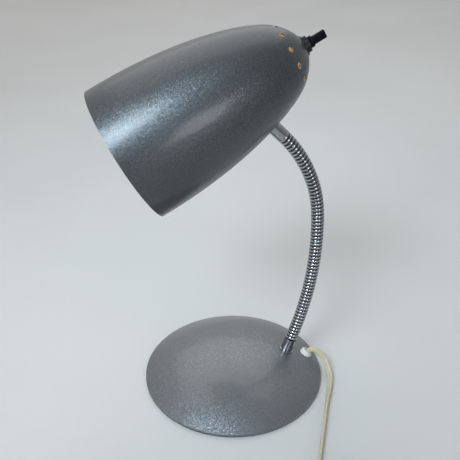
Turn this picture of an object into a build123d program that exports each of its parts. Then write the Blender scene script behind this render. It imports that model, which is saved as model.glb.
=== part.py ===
# Gooseneck desk lamp: a domed round base, a flexible spiral neck and a bullet shade with a rotary switch.
# Millimetres, +Z up, origin at the middle of the base on the surface that the lamp stands on.
# The lamp lies in the YZ plane: the shade's mouth faces -Y, and the neck rises from the base's rear, +Y.
import os
from math import asin, atan, ceil, cos, hypot, pi, radians, sin, sqrt, tan

from build123d import *

os.makedirs("parts", exist_ok=True)

# Clearances
fit_gap = 0.05  # between fixed pieces that fit into or over each other
seat_gap = 0.1  # between a fixed piece and a face that it rests near
running_gap = 0.06  # radial, round the turning switch shaft
motion_gap = 0.3  # between pieces that move past each other

# Base
base_radius = 77.5
base_wall = 1.2
lip_lift = 0.6  # lower edge of the lip above the table
lip_height = 2.4
dome_rise = 22.0  # from the lip to the top of the dome
felt_thickness = 1.0
felt_margin = 3.0  # bare ring of the bottom plate outside the felt
plate_thickness = 1.2
plate_screw_radius = 1.5
plate_screw_head_radius = 2.6
plate_screw_length = 6.0
plate_screw_margin = 10.0  # from the weight's edge to the screws' circle
plate_screw_count = 3
plate_screw_start = -90.0  # degrees, the first screw is at the front
weight_clearance = 1.9  # between the weight's upper edge and the dome
weight_thickness = 6.0
weight_notch_width = 31.0
weight_notch_reach = 17.5  # how far the notch for the neck's nut begins in front of the neck
boss_radius = 7.0
bolt_radius = 3.0
bolt_head_radius = 5.0
bolt_head_height = 3.2
bolt_cover = 1.4  # of the boss above the bolt's end

# Neck
foot_inset = 29.3  # from the base's edge to the neck's foot
neck_radius = 5.35  # over the turns
turn_depth = 0.75
neck_end_radius = 3.9  # a stretch of turns narrows to this at each end
lead_radius = 1.5  # insulated pair inside the lamp
lead_room = 0.9  # round the pair in the neck's bore
foot_ferrule_length = 13.0
head_ferrule_length = 13.0
lower_arc_length = 124.4
lower_arc_turn = 23.1  # degrees
upper_arc_length = 78.5
neck_sections = 9
turns_per_section = 7
section_bend = 12.0  # degrees each way between two stretches
nipple_wall = 1.6
collar_margin = 0.65  # of the collar outside the neck
collar_thickness = 1.2
collar_chamfer = 0.4
lock_washer_margin = 3.2  # outside the nipple
lock_washer_thickness = 0.8
lock_nut_wall = 2.5  # from the nipple to the nut's flats
lock_nut_thickness = 2.8
nipple_spare = 0.5  # thread past the nut

# Shade
mouth_radius = 51.0
shade_length = 144.5  # mouth to the switch's seat
shade_wall = 1.0
hem_radius = 1.1
hem_inset = 0.15  # of the rolled hem from the wall's outside and edge
ellipse_past = 5.8  # how far past the seat the tip of the wall's ellipse would lie
nose_length = 18.5  # from where the wall leaves the ellipse to the seat
seat_radius = 8.5
shade_tilt = 28.6  # degrees that the mouth looks down
neck_entry = 99.4  # height above the mouth where the neck comes in
vent_count = 12
vent_radius = 2.1
vent_drop = 11.1  # of the vents' middles below the seat
vent_start = 3.0  # degrees round the shade to the first vent

# Switch, from the seat outwards and then inwards
switch_washer_margin = 2.6  # outside the thread
switch_washer_thickness = 1.2
ring_nut_wall = 1.1
ring_nut_thickness = 3.0
ring_nut_grooves = 20
ring_nut_groove_depth = 0.35
thread_radius = 4.8
thread_spare = 0.4  # thread past the ring nut
shoulder_margin = 0.5  # of the seat outside the bushing's shoulder
shoulder_height = 4.5
shaft_radius = 2.5
knob_collar_radius = 4.2
knob_collar_height = 2.6
paddle_width = 6.0
paddle_thickness = 3.4
paddle_length = 10.2
paddle_corner = 1.0
paddle_rounding = 0.8
housing_height = 18.0
housing_wall = 2.5
housing_flange_thickness = 3.0
rotor_width = 8.4
rotor_thickness = 6.0
rotor_lift = 5.0  # above the floor of the housing
leaf_width = 4.0
leaf_thickness = 0.5
leaf_room = 3.5  # above the leaf in the housing
leaf_gap = 0.4  # between the rotor's corner and the leaf

# Lamp holder and bulb
holder_wall = 2.7
holder_length = 32.0
holder_roof = 4.0
shell_radius = 13.75  # outside of the brass screw shell
shell_wall = 0.5
shell_length = 20.0
contact_radius = 5.0
contact_thickness = 1.0
holder_screw_radius = 1.1
holder_screw_head_radius = 1.9
holder_screw_head_height = 1.4
holder_screw_margin = 0.4  # from the screw's head to the holder's edge
cap_room = 0.25  # between the cap and the screw shell
cap_length = 21.0
cap_tip_radius = 4.0
cap_tip_height = 0.9
bulb_radius = 25.0
cap_lap = 0.6  # of the cap outside the bulb's neck
bulb_neck_length = 10.0
bulb_shoulder_length = 22.0
bulb_wall = 0.8

# Cord
cord_radius = 2.0  # round section of the same area as the twin flat cord
bushing_inset = 10.4  # from the base's edge to the cord's bushing
bushing_tilt = 40.0  # degrees that the bushing leans outwards
bushing_radius = 5.2
bushing_height = 3.0
bushing_rounding = 1.6
bushing_stem_wall = 1.0
bushing_stem_length = 2.6
bushing_room = 0.8  # round the cord
coil_middle = (167.5, 59.0)
coil_start_angle = 246.0  # degrees round the coil's middle
coil_radius = 38.0  # outermost turn
coil_pitch = 4.6
coil_layer_height = 5.6
coil_turns_in = 4.0
coil_turns_out = 3.75
tie_thickness = 1.0
tie_width = 4.0
tie_angle = 110.0
tie_gap = 0.3
plug_length = 22.0
plug_width = 18.0
plug_thickness = 12.0
plug_edge_radius = 3.0
blade_length = 17.0
blade_width = 6.3
blade_thickness = 1.5
blade_spacing = 12.7
run_share = 0.45  # of a route's shorter run that a bend takes up
notch_share = 0.75  # how far out to the notch's side the wire bends
nut_pass = 9.0  # behind the neck's foot, where the wire passes its nut
nipple_pass = 4.5  # straight run of the wire out of the neck inside the shade
holder_pass = 24.0  # above the lamp holder's edge, where the wire comes beside it
arch_rise = 5.0  # straight run of the cord out of the bushing
arch_points = [(3.3, 75.6, 14.6), (10.3, 80.2, 11.2), (18.0, 82.4, 5.2)]
floor_points = [(28.7, 80.9), (42.7, 75.0), (57.5, 67.6), (73.6, 60.4), (92.0, 51.8), (111.8, 42.8)]
coil_approach = 20.0  # straight run of the cord before the coil
tail_leave = 13.0  # straight run of the cord after the coil
tail_shift = (8.5, 44.0)  # from the coil's end to the plug
tail_arrive = 15.0  # straight run of the cord before the plug

# Worked-out sizes of the base
lip_top = lip_lift + lip_height
dome_top = lip_top + dome_rise
dome_radius = (base_radius**2 + dome_rise**2) / (2 * dome_rise)
dome_centre_z = dome_top - dome_radius
plate_bottom = felt_thickness
plate_top = plate_bottom + plate_thickness
weight_top = plate_top + weight_thickness
plate_radius = base_radius - base_wall - motion_gap
foot_y = base_radius - foot_inset
bushing_y = base_radius - bushing_inset
inner_radius = base_radius - base_wall
inner_dome_radius = dome_radius - base_wall
weight_radius = sqrt(inner_dome_radius**2 - (weight_top + weight_clearance - dome_centre_z) ** 2)
weight_notch_start = foot_y - weight_notch_reach
plate_screw_circle = weight_radius - plate_screw_margin
across = Vector(1, 0, 0)

# Worked-out sizes of the neck, the head and the bushing
neck_bore_radius = lead_radius + lead_room
nipple_radius = neck_bore_radius + nipple_wall
collar_radius = neck_radius + collar_margin
lock_washer_radius = nipple_radius + lock_washer_margin
lock_nut_width = 2 * (nipple_radius + lock_nut_wall)  # across flats
ellipse_length = shade_length + ellipse_past  # half length of the ellipse that the wall follows
nose_start = shade_length - nose_length
vent_height = shade_length - vent_drop
switch_washer_radius = thread_radius + switch_washer_margin
ring_nut_radius = thread_radius + ring_nut_wall
shoulder_radius = seat_radius - shoulder_margin
holder_radius = shell_radius + fit_gap + holder_wall
holder_screw_offset = holder_radius - holder_screw_head_radius - holder_screw_margin
housing_radius = holder_screw_offset - holder_screw_head_radius - motion_gap
cap_radius = shell_radius - shell_wall - cap_room
bulb_neck_radius = cap_radius - cap_lap
bushing_bore_radius = cord_radius + bushing_room
bushing_stem_radius = bushing_bore_radius + bushing_stem_wall


def dome_height(y):
    """Height of the dome's outside at a distance from the middle."""
    return dome_centre_z + sqrt(dome_radius**2 - y**2)


def along(origin, direction):
    """Plane whose x runs across the lamp and whose y runs along a direction in the lamp's plane."""
    return Plane(origin=origin, x_dir=across, z_dir=across.cross(direction))


def ring_section(plane, inner, outer, bottom, top):
    """Half section of a turned ring."""
    with BuildSketch(plane) as section:
        with Locations(((inner + outer) / 2, (bottom + top) / 2)):
            Rectangle(outer - inner, top - bottom)
    return section.sketch


def turned_section(plane, points):
    """Half section of a turned piece, from its radius and height at each corner."""
    with BuildSketch(plane) as section:
        with BuildLine():
            Polyline(*points, close=True)
        make_face()
    return section.sketch


def finish(piece, name):
    """Label a piece and write it."""
    piece.part.label = name
    export_step(piece.part, f"parts/{name}.step")


# Neck line: the foot leans with the dome, then two arcs lead to the shade, which the neck meets squarely
foot_lean = asin(foot_y / dome_radius)
middle_lean = foot_lean - radians(lower_arc_turn)
entry_radius = mouth_radius * sqrt(1 - (neck_entry / ellipse_length) ** 2)
entry_slope = atan((mouth_radius / ellipse_length) ** 2 * neck_entry / entry_radius)
head_lean = -(radians(shade_tilt) + entry_slope)
flex_length = lower_arc_length + upper_arc_length
foot_point = Vector(0, foot_y, dome_height(foot_y))


def lean_direction(lean):
    """Direction that leans back from upright by an angle."""
    return Vector(0, sin(lean), cos(lean))


def arc_point(start, lean, turn, length, distance):
    """Point and lean at a distance along an arc of the neck."""
    radius = length / turn
    end_lean = lean + distance / radius
    step = Vector(0, radius * (cos(lean) - cos(end_lean)), radius * (sin(end_lean) - sin(lean)))
    return start + step, end_lean


flex_start = foot_point + lean_direction(foot_lean) * foot_ferrule_length
flex_middle = arc_point(flex_start, foot_lean, middle_lean - foot_lean, lower_arc_length, lower_arc_length)[0]


def neck_plane(distance):
    """Plane square to the neck at a distance along its flexible length."""
    if distance <= lower_arc_length:
        point, lean = arc_point(flex_start, foot_lean, middle_lean - foot_lean, lower_arc_length, distance)
    else:
        past = distance - lower_arc_length
        point, lean = arc_point(flex_middle, middle_lean, head_lean - middle_lean, upper_arc_length, past)
    return Plane(origin=point, x_dir=across, z_dir=lean_direction(lean))


entry_point = neck_plane(flex_length).origin + lean_direction(head_lean) * head_ferrule_length
foot_plane = along(foot_point, lean_direction(foot_lean))
foot_axis = Axis(foot_point, lean_direction(foot_lean))
entry_plane = along(entry_point, lean_direction(head_lean))
entry_axis = Axis(entry_point, lean_direction(head_lean))

# Head frame: origin in the middle of the mouth, x across, heights along the shade towards its nose
head_up = Vector(0, cos(radians(shade_tilt)), sin(radians(shade_tilt)))
head_side = Vector(0, sin(radians(shade_tilt)), -cos(radians(shade_tilt)))
mouth_point = entry_point - head_up * neck_entry - head_side * entry_radius
head_plane = along(mouth_point, head_up)
head_axis = Axis(mouth_point, head_up)


def head_point(x, side, height):
    """Point in the head: across, towards the neck's side, and above the mouth."""
    return mouth_point + across * x + head_side * side + head_up * height


def head_level(height, x=0.0):
    """Plane square to the shade's axis at a height above the mouth."""
    return Plane(origin=head_point(x, 0, height), x_dir=across, z_dir=head_up)


# Base shell: a spherical dome on a short upright lip, with holes for the neck and the cord
bushing_point = Vector(0, bushing_y, dome_height(bushing_y))
bushing_direction = lean_direction(radians(bushing_tilt))
bushing_axis = Axis(bushing_point, bushing_direction)
bushing_plane = along(bushing_point, bushing_direction)
bushing_round_plane = Plane(origin=bushing_point, x_dir=across, z_dir=bushing_direction)
foot_round_plane = Plane(origin=foot_point, x_dir=across, z_dir=lean_direction(foot_lean))
hole_reach = 4 * base_wall
inner_corner_z = dome_centre_z + sqrt(inner_dome_radius**2 - inner_radius**2)

with BuildPart() as base_dome:
    with BuildSketch(Plane.XZ):
        with BuildLine():
            RadiusArc((0, dome_top), (base_radius, lip_top), dome_radius)
            Line((base_radius, lip_top), (base_radius, lip_lift))
            Line((base_radius, lip_lift), (inner_radius, lip_lift))
            Line((inner_radius, lip_lift), (inner_radius, inner_corner_z))
            RadiusArc((inner_radius, inner_corner_z), (0, dome_top - base_wall), -inner_dome_radius)
            Line((0, dome_top - base_wall), (0, dome_top))
        make_face()
    revolve(axis=Axis.Z)
    with BuildSketch(foot_round_plane):
        Circle(nipple_radius + fit_gap)
    extrude(amount=hole_reach, both=True, mode=Mode.SUBTRACT)
    with BuildSketch(bushing_round_plane):
        Circle(bushing_stem_radius + fit_gap)
    extrude(amount=hole_reach, both=True, mode=Mode.SUBTRACT)
finish(base_dome, "base_dome")

# Felt and bottom plate close the base from below
with BuildPart() as base_felt:
    with BuildSketch():
        Circle(plate_radius - felt_margin)
    extrude(amount=felt_thickness)
finish(base_felt, "base_felt")

with BuildPart() as base_plate:
    with BuildSketch(Plane.XY.offset(plate_bottom)):
        Circle(plate_radius)
    extrude(amount=plate_thickness)
    with Locations(Plane.XY.offset(plate_bottom)):
        with PolarLocations(plate_screw_circle, plate_screw_count, start_angle=plate_screw_start):
            Cone(
                plate_screw_head_radius + fit_gap,
                plate_screw_radius + fit_gap,
                plate_thickness,
                align=(Align.CENTER, Align.CENTER, Align.MIN),
                mode=Mode.SUBTRACT,
            )
finish(base_plate, "base_plate")

with BuildPart() as plate_screws:
    with BuildSketch(along((0, -plate_screw_circle, plate_bottom), Vector(0, 0, 1))):
        with BuildLine():
            Polyline(
                (0, 0),
                (plate_screw_head_radius, 0),
                (plate_screw_radius, plate_thickness),
                (plate_screw_radius, plate_screw_length),
                (0, plate_screw_length),
                close=True,
            )
        make_face()
    revolve(axis=Axis((0, -plate_screw_circle, 0), (0, 0, 1)))
    first_screw = plate_screws.part
    for number in range(1, plate_screw_count):
        add(first_screw.rotate(Axis.Z, number * 360 / plate_screw_count))
finish(plate_screws, "plate_screws")

# Iron weight under the dome, notched at the rear for the neck's nut and the wiring
screw_hole_depth = plate_screw_length - plate_thickness + seat_gap
with BuildPart() as base_weight:
    with BuildSketch(Plane.XY.offset(plate_top)):
        Circle(weight_radius)
        with Locations((0, weight_notch_start)):
            Rectangle(
                weight_notch_width, weight_radius, align=(Align.CENTER, Align.MIN), mode=Mode.SUBTRACT
            )
    extrude(amount=weight_thickness)
    with BuildSketch(Plane.XY.offset(plate_top)):
        Circle(bolt_radius + fit_gap)
    extrude(amount=weight_thickness, mode=Mode.SUBTRACT)
    with BuildSketch(Plane.XY.offset(plate_top)):
        Circle(bolt_head_radius + seat_gap)
    extrude(amount=bolt_head_height + seat_gap, mode=Mode.SUBTRACT)
    with BuildSketch(Plane.XY.offset(plate_top)):
        with PolarLocations(plate_screw_circle, plate_screw_count, start_angle=plate_screw_start):
            Circle(plate_screw_radius + fit_gap)
    extrude(amount=screw_hole_depth, mode=Mode.SUBTRACT)
finish(base_weight, "base_weight")

# Boss under the top of the dome, and the bolt that hangs the weight from it
boss_top = dome_centre_z + sqrt(inner_dome_radius**2 - boss_radius**2) - fit_gap
bolt_head_top = plate_top + seat_gap + bolt_head_height
bolt_top = boss_top - bolt_cover
with BuildPart() as weight_boss:
    with BuildSketch(Plane.XY.offset(weight_top)):
        Circle(boss_radius)
    extrude(amount=boss_top - weight_top)
    with BuildSketch(Plane.XY.offset(weight_top)):
        Circle(bolt_radius + fit_gap)
    extrude(amount=bolt_top - weight_top + seat_gap, mode=Mode.SUBTRACT)
finish(weight_boss, "weight_boss")

with BuildPart() as weight_bolt:
    with BuildSketch(Plane.XY.offset(plate_top + seat_gap)):
        RegularPolygon(bolt_head_radius, 6)
    extrude(amount=bolt_head_height)
    with BuildSketch(Plane.XY.offset(bolt_head_top)):
        Circle(bolt_radius)
    extrude(amount=bolt_top - bolt_head_top)
finish(weight_bolt, "weight_bolt")

# Neck foot: a collar on the dome, the smooth ferrule with its threaded nipple, and washer and nut inside
foot_washer_sag = inner_dome_radius - sqrt(inner_dome_radius**2 - lock_washer_radius**2)
foot_washer_top = -(base_wall + foot_washer_sag + fit_gap)
foot_nut_top = foot_washer_top - lock_washer_thickness
foot_nut_bottom = foot_nut_top - lock_nut_thickness
foot_nipple_bottom = foot_nut_bottom - nipple_spare

with BuildPart() as foot_collar:
    revolve(ring_section(foot_plane, nipple_radius + fit_gap, collar_radius, 0, collar_thickness), axis=foot_axis)
    chamfer(foot_collar.edges().filter_by(GeomType.CIRCLE).sort_by(foot_axis)[-1], collar_chamfer)
finish(foot_collar, "foot_collar")

with BuildPart() as foot_ferrule:
    revolve(
        turned_section(
            foot_plane,
            [
                (neck_bore_radius, foot_nipple_bottom),
                (nipple_radius, foot_nipple_bottom),
                (nipple_radius, collar_thickness),
                (neck_radius, collar_thickness),
                (neck_radius, foot_ferrule_length),
                (neck_bore_radius, foot_ferrule_length),
            ],
        ),
        axis=foot_axis,
    )
finish(foot_ferrule, "foot_ferrule")

with BuildPart() as foot_lock_washer:
    revolve(
        ring_section(foot_plane, nipple_radius + fit_gap, lock_washer_radius, foot_nut_top, foot_washer_top),
        axis=foot_axis,
    )
finish(foot_lock_washer, "foot_lock_washer")

with BuildPart() as foot_nut:
    with BuildSketch(foot_round_plane.offset(foot_nut_bottom)):
        RegularPolygon(lock_nut_width / 2, 6, major_radius=False)
        Circle(nipple_radius + fit_gap, mode=Mode.SUBTRACT)
    extrude(amount=lock_nut_thickness)
finish(foot_nut, "foot_nut")

# Flexible neck: stretches of close turns with a bore, parted where the neck bends
section_length = flex_length / neck_sections
section_gap = neck_end_radius * sin(radians(section_bend)) + motion_gap / 2
valley_radius = neck_radius - turn_depth
flank_radius = neck_radius - turn_depth / 4
turn_shape = [(0.0, valley_radius), (0.25, flank_radius), (0.5, neck_radius), (0.75, flank_radius)]


def section_ends(number):
    """Where a stretch of the neck starts and ends along the flexible length."""
    start = number * section_length + (section_gap / 2 if number > 0 else 0)
    end = (number + 1) * section_length - (section_gap / 2 if number < neck_sections - 1 else 0)
    return start, end


for number in range(neck_sections):
    start, end = section_ends(number)
    pitch = (end - start) / turns_per_section
    with BuildPart() as neck_section:
        for turn in range(turns_per_section):
            for share, radius in turn_shape:
                with BuildSketch(neck_plane(start + (turn + share) * pitch)):
                    Circle(neck_end_radius if turn + share == 0 else radius)
        with BuildSketch(neck_plane(end)):
            Circle(neck_end_radius)
        loft(ruled=True)
        for turn in range(turns_per_section + 1):
            with BuildSketch(neck_plane(start + turn * pitch)):
                Circle(neck_bore_radius)
        loft(ruled=True, mode=Mode.SUBTRACT)
    finish(neck_section, f"neck_section_{number + 1}")
    with BuildPart() as neck_lead:
        for turn in range(turns_per_section + 1):
            with BuildSketch(neck_plane(start + turn * pitch)):
                Circle(lead_radius)
        loft(ruled=True)
    finish(neck_lead, f"neck_lead_{number + 1}")

# Neck head: the smooth ferrule whose nipple goes through the shade, with washer and nut inside
entry_curve_radius = entry_radius / cos(entry_slope) - shade_wall
head_washer_sag = entry_curve_radius - sqrt(entry_curve_radius**2 - lock_washer_radius**2)
head_washer_start = shade_wall + head_washer_sag + fit_gap
head_nut_start = head_washer_start + lock_washer_thickness
head_nut_end = head_nut_start + lock_nut_thickness
head_nipple_end = head_nut_end + nipple_spare
entry_round_plane = Plane(origin=entry_point, x_dir=across, z_dir=lean_direction(head_lean))

with BuildPart() as head_ferrule:
    revolve(
        turned_section(
            entry_plane,
            [
                (neck_bore_radius, -head_ferrule_length),
                (neck_radius, -head_ferrule_length),
                (neck_radius, 0),
                (nipple_radius, 0),
                (nipple_radius, head_nipple_end),
                (neck_bore_radius, head_nipple_end),
            ],
        ),
        axis=entry_axis,
    )
finish(head_ferrule, "head_ferrule")

with BuildPart() as head_lock_washer:
    revolve(
        ring_section(entry_plane, nipple_radius + fit_gap, lock_washer_radius, head_washer_start, head_nut_start),
        axis=entry_axis,
    )
finish(head_lock_washer, "head_lock_washer")

with BuildPart() as head_nut:
    with BuildSketch(entry_round_plane.offset(head_nut_start)):
        RegularPolygon(lock_nut_width / 2, 6, major_radius=False)
        Circle(nipple_radius + fit_gap, mode=Mode.SUBTRACT)
    extrude(amount=lock_nut_thickness)
finish(head_nut, "head_nut")

# Shade: half an ellipse turned about its axis, with a blunter nose, a flat seat, a hem and vents
nose_angle = asin(nose_start / ellipse_length)
switch_hole_radius = thread_radius + fit_gap
nose_radius = mouth_radius * cos(nose_angle)
nose_slope = atan((mouth_radius / ellipse_length) ** 2 * nose_start / nose_radius)
chord_slope = atan((nose_radius - seat_radius) / nose_length)
nose_curve = hypot(nose_radius - seat_radius, nose_length) / (2 * sin(chord_slope - nose_slope))
vent_slope = asin((vent_height - nose_start) / nose_curve + sin(nose_slope))
vent_ring = nose_radius + nose_curve * (cos(vent_slope) - cos(nose_slope))
vent_planes = []
for number in range(vent_count):
    turn = radians(vent_start + number * 360 / vent_count)
    outwards = across * cos(turn) + head_side * sin(turn)
    vent_point = mouth_point + head_up * vent_height + outwards * vent_ring
    vent_planes.append(Plane(origin=vent_point, z_dir=outwards * cos(vent_slope) + head_up * sin(vent_slope)))

wall_steps = 6
cut_reach = 3 * shade_wall


def wall_points(inset):
    """Points along the ellipse, from the mouth to the nose, a wall's share inside it."""
    angles = [nose_angle * step / wall_steps for step in range(wall_steps + 1)]
    return [((mouth_radius - inset) * cos(angle), (ellipse_length - inset) * sin(angle)) for angle in angles]


wall_directions = ((0, 1), (-mouth_radius * sin(nose_angle), ellipse_length * cos(nose_angle)))
with BuildPart() as shade:
    with BuildSketch(head_plane):
        with BuildLine():
            outer_wall = Spline(*wall_points(0), tangents=wall_directions)
            TangentArc(outer_wall @ 1, (seat_radius, shade_length), tangent=outer_wall % 1)
            Polyline(
                (seat_radius, shade_length),
                (switch_hole_radius, shade_length),
                (switch_hole_radius, shade_length - shade_wall),
                (seat_radius, shade_length - shade_wall),
            )
            inner_wall = Spline(*wall_points(shade_wall), tangents=wall_directions)
            TangentArc(inner_wall @ 1, (seat_radius, shade_length - shade_wall), tangent=inner_wall % 1)
            Line((mouth_radius - shade_wall, 0), (mouth_radius, 0))
        make_face()
        with Locations((mouth_radius - hem_inset - hem_radius, hem_inset + hem_radius)):
            Circle(hem_radius)
    revolve(axis=head_axis)
    with BuildSketch(*vent_planes):
        Circle(vent_radius)
    extrude(amount=cut_reach, both=True, mode=Mode.SUBTRACT)
    with BuildSketch(entry_round_plane):
        Circle(nipple_radius + fit_gap)
    extrude(amount=cut_reach, both=True, mode=Mode.SUBTRACT)
finish(shade, "shade")

# Switch outside the shade: washer, grooved ring nut and the threaded bushing that they clamp
switch_washer_top = shade_length + switch_washer_thickness
ring_nut_top = switch_washer_top + ring_nut_thickness
thread_top = ring_nut_top + thread_spare
shoulder_top = shade_length - shade_wall
housing_top = shoulder_top - shoulder_height
housing_floor = housing_top - housing_height

with BuildPart() as switch_washer:
    revolve(
        ring_section(head_plane, switch_hole_radius, switch_washer_radius, shade_length, switch_washer_top),
        axis=head_axis,
    )
finish(switch_washer, "switch_washer")

with BuildPart() as switch_ring_nut:
    with BuildSketch(head_level(switch_washer_top)):
        Circle(ring_nut_radius)
        Circle(switch_hole_radius, mode=Mode.SUBTRACT)
        with PolarLocations(ring_nut_radius, ring_nut_grooves):
            Circle(ring_nut_groove_depth, mode=Mode.SUBTRACT)
    extrude(amount=ring_nut_thickness)
finish(switch_ring_nut, "switch_ring_nut")

with BuildPart() as switch_bushing:
    revolve(
        turned_section(
            head_plane,
            [
                (shaft_radius + running_gap, housing_top),
                (shoulder_radius, housing_top),
                (shoulder_radius, shoulder_top),
                (thread_radius, shoulder_top),
                (thread_radius, thread_top),
                (shaft_radius + running_gap, thread_top),
            ],
        ),
        axis=head_axis,
    )
finish(switch_bushing, "switch_bushing")

# Turning parts of the switch: the paddle knob with its shaft, and the rotor on the shaft's inner end
rotor_bottom = housing_floor + rotor_lift
knob_bottom = thread_top + motion_gap
knob_collar_top = knob_bottom + knob_collar_height
with BuildPart() as switch_knob:
    with BuildSketch(head_level(rotor_bottom)):
        Circle(shaft_radius)
    extrude(amount=knob_bottom - rotor_bottom)
    with BuildSketch(head_level(knob_bottom)):
        Circle(knob_collar_radius)
    extrude(amount=knob_collar_height)
    with BuildSketch(head_level(knob_collar_top)):
        RectangleRounded(paddle_thickness, paddle_width, paddle_corner)
    extrude(amount=paddle_length)
    fillet(switch_knob.faces().sort_by(head_axis)[-1].edges(), paddle_rounding)
finish(switch_knob, "switch_knob")

with BuildPart() as switch_rotor:
    with BuildSketch(head_level(rotor_bottom)):
        Rectangle(rotor_width, rotor_width)
        Circle(shaft_radius + fit_gap, mode=Mode.SUBTRACT)
    extrude(amount=rotor_thickness)
finish(switch_rotor, "switch_rotor")

# Switch housing: a cup round the rotor, with a flange that the lamp holder is screwed to
flange_bottom = housing_floor - housing_flange_thickness
cavity_top = housing_top - housing_wall
wire_entry = (housing_floor + housing_top) / 2
wire_hole_plane = Plane(origin=head_point(0, housing_radius, wire_entry), x_dir=across, z_dir=-head_side)
with BuildPart() as switch_housing:
    revolve(
        turned_section(
            head_plane,
            [
                (0, flange_bottom),
                (holder_radius, flange_bottom),
                (holder_radius, housing_floor),
                (housing_radius, housing_floor),
                (housing_radius, housing_top),
                (shaft_radius + motion_gap, housing_top),
                (shaft_radius + motion_gap, cavity_top),
                (housing_radius - housing_wall, cavity_top),
                (housing_radius - housing_wall, housing_floor),
                (0, housing_floor),
            ],
        ),
        axis=head_axis,
    )
    with BuildSketch(head_level(flange_bottom)):
        with PolarLocations(holder_screw_offset, 2):
            Circle(holder_screw_radius + fit_gap)
    extrude(amount=housing_flange_thickness, mode=Mode.SUBTRACT)
    with BuildSketch(wire_hole_plane):
        Circle(lead_radius + seat_gap)
    extrude(amount=housing_wall + seat_gap, mode=Mode.SUBTRACT)
finish(switch_housing, "switch_housing")

rotor_reach = hypot(rotor_width / 2, rotor_width / 2)
with BuildPart() as switch_leaf:
    with BuildSketch(head_level(housing_floor)):
        with Locations((0, -(rotor_reach + leaf_gap + leaf_thickness / 2))):
            Rectangle(leaf_width, leaf_thickness)
    extrude(amount=cavity_top - housing_floor - leaf_room)
finish(switch_leaf, "switch_leaf")

# Lamp holder: moulded cup, brass screw shell, centre contact and the two screws through the flange
holder_top = flange_bottom
holder_bottom = holder_top - holder_length
holder_ceiling = holder_top - holder_roof
shell_top = holder_ceiling - contact_thickness - seat_gap
with BuildPart() as lamp_holder:
    revolve(
        turned_section(
            head_plane,
            [
                (0, holder_ceiling),
                (shell_radius + fit_gap, holder_ceiling),
                (shell_radius + fit_gap, holder_bottom),
                (holder_radius, holder_bottom),
                (holder_radius, holder_top),
                (0, holder_top),
            ],
        ),
        axis=head_axis,
    )
    with BuildSketch(head_level(holder_ceiling)):
        with PolarLocations(holder_screw_offset, 2):
            Circle(holder_screw_radius + fit_gap)
    extrude(amount=holder_roof, mode=Mode.SUBTRACT)
finish(lamp_holder, "lamp_holder")

with BuildPart() as holder_screws:
    with BuildSketch(head_level(holder_ceiling)):
        with PolarLocations(holder_screw_offset, 2):
            Circle(holder_screw_radius)
    extrude(amount=housing_floor - holder_ceiling)
    with BuildSketch(head_level(housing_floor)):
        with PolarLocations(holder_screw_offset, 2):
            Circle(holder_screw_head_radius)
    extrude(amount=holder_screw_head_height)
finish(holder_screws, "holder_screws")

with BuildPart() as holder_shell:
    revolve(
        ring_section(head_plane, shell_radius - shell_wall, shell_radius, shell_top - shell_length, shell_top),
        axis=head_axis,
    )
finish(holder_shell, "holder_shell")

with BuildPart() as holder_contact:
    with BuildSketch(head_level(holder_ceiling - contact_thickness)):
        Circle(contact_radius)
    extrude(amount=contact_thickness)
finish(holder_contact, "holder_contact")

# Bulb: screw cap, its tip and the glass
cap_tip_top = holder_ceiling - contact_thickness - fit_gap
cap_top = cap_tip_top - cap_tip_height
cap_bottom = cap_top - cap_length
bulb_neck_bottom = cap_bottom - bulb_neck_length
bulb_middle = bulb_neck_bottom - bulb_shoulder_length
with BuildPart() as bulb_cap:
    revolve(
        turned_section(
            head_plane,
            [
                (0, cap_bottom),
                (cap_radius, cap_bottom),
                (cap_radius, cap_top - cap_tip_radius),
                (cap_tip_radius, cap_top),
                (0, cap_top),
            ],
        ),
        axis=head_axis,
    )
finish(bulb_cap, "bulb_cap")

with BuildPart() as bulb_tip:
    with BuildSketch(head_level(cap_top)):
        Circle(cap_tip_radius)
    extrude(amount=cap_tip_height)
finish(bulb_tip, "bulb_tip")

with BuildPart() as bulb_glass:
    with BuildSketch(head_plane):
        with BuildLine():
            Line((bulb_neck_radius, cap_bottom), (bulb_neck_radius, bulb_neck_bottom))
            Spline(
                (bulb_neck_radius, bulb_neck_bottom),
                (bulb_radius, bulb_middle),
                tangents=((0, -1), (0, -1)),
            )
            CenterArc((0, bulb_middle), bulb_radius, 0, -90)
            Line((0, bulb_middle - bulb_radius), (0, bulb_middle - bulb_radius + bulb_wall))
            CenterArc((0, bulb_middle), bulb_radius - bulb_wall, -90, 90)
            Spline(
                (bulb_radius - bulb_wall, bulb_middle),
                (bulb_neck_radius - bulb_wall, bulb_neck_bottom),
                tangents=((0, 1), (0, 1)),
            )
            Line((bulb_neck_radius - bulb_wall, bulb_neck_bottom), (bulb_neck_radius - bulb_wall, cap_bottom))
            Line((bulb_neck_radius - bulb_wall, cap_bottom), (bulb_neck_radius, cap_bottom))
        make_face()
    revolve(axis=head_axis)
finish(bulb_glass, "bulb_glass")

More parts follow.
